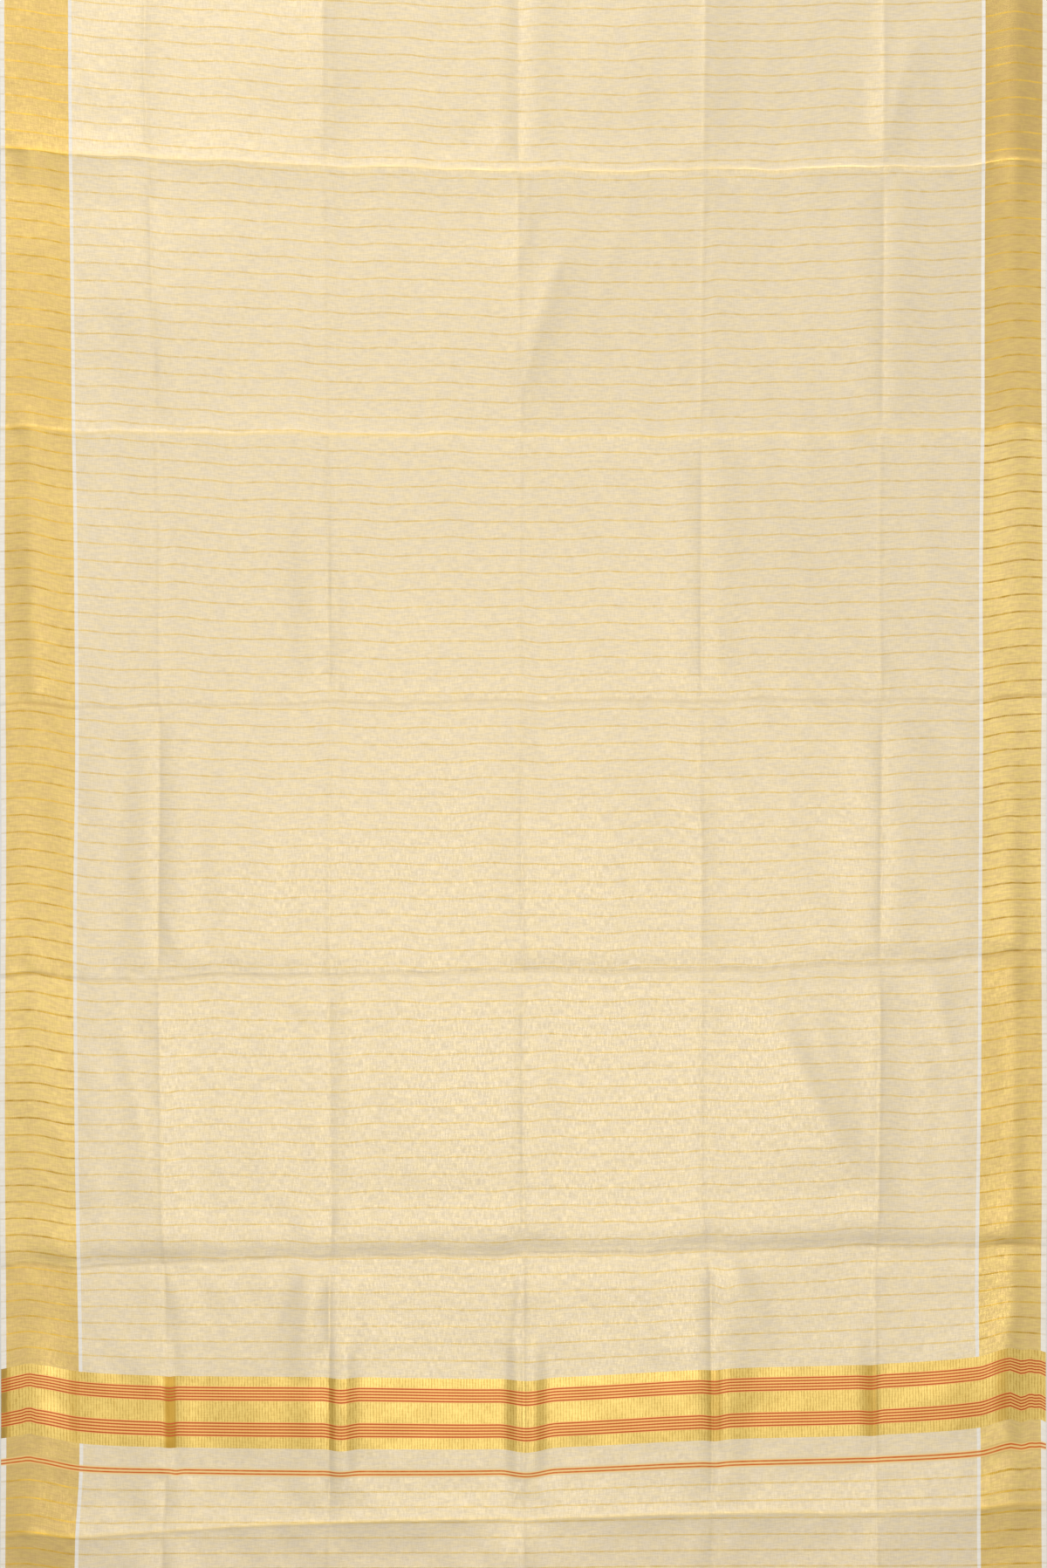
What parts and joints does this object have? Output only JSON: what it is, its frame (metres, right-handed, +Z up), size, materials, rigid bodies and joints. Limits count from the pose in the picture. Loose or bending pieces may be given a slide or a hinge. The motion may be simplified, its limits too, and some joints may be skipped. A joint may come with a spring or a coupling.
{
  "type": "saree",
  "caption": "Long rectangular saree laid out flat, with gold side borders, a striped gold end band and low fold creases.",
  "frame": {"origin": "middle of the laid cloth, on the surface that it rests on", "axes": "+X across the cloth to the right border, +Y along it from the banded pallu end to the plain end, +Z up from the surface"},
  "size_m": [1.17, 5.5, 0.0058],
  "materials": {
    "tissue": "semi-sheer sheen",
    "gold": "gold thread sheen",
    "white": "matte",
    "zari": "metallic thread",
    "orange": "satin"
  },
  "bodies": {
    "root": {"hem_pallu": "tissue", "pallu_end_selvedge_left": "white", "pallu_end_border_left": "gold", "pallu_end_line_left": "white", "pallu_end_ground": "tissue", "pallu_end_line_right": "white", "pallu_end_border_right": "gold", "pallu_end_selvedge_right": "white", "pallu_orange_line": "orange", "pallu_gap_selvedge_left": "white", "pallu_gap_border_left": "gold", "pallu_gap_line_left": "white", "pallu_gap_ground": "tissue", "pallu_gap_line_right": "white", "pallu_gap_border_right": "gold", "pallu_gap_selvedge_right": "white", "pallu_gold_band": "zari", "body_1_selvedge_left": "white", "body_1_border_left": "gold", "body_1_line_left": "white", "body_1_ground": "tissue", "body_1_line_right": "white", "body_1_border_right": "gold", "body_1_selvedge_right": "white", "body_2_selvedge_left": "white", "body_2_border_left": "gold", "body_2_line_left": "white", "body_2_ground": "tissue", "body_2_line_right": "white", "body_2_border_right": "gold", "body_2_selvedge_right": "white", "body_3_selvedge_left": "white", "body_3_border_left": "gold", "body_3_line_left": "white", "body_3_ground": "tissue", "body_3_line_right": "white", "body_3_border_right": "gold", "body_3_selvedge_right": "white", "body_4_selvedge_left": "white", "body_4_border_left": "gold", "body_4_line_left": "white", "body_4_ground": "tissue", "body_4_line_right": "white", "body_4_border_right": "gold", "body_4_selvedge_right": "white", "hem_plain": "tissue"}
  },
  "joints": []
}
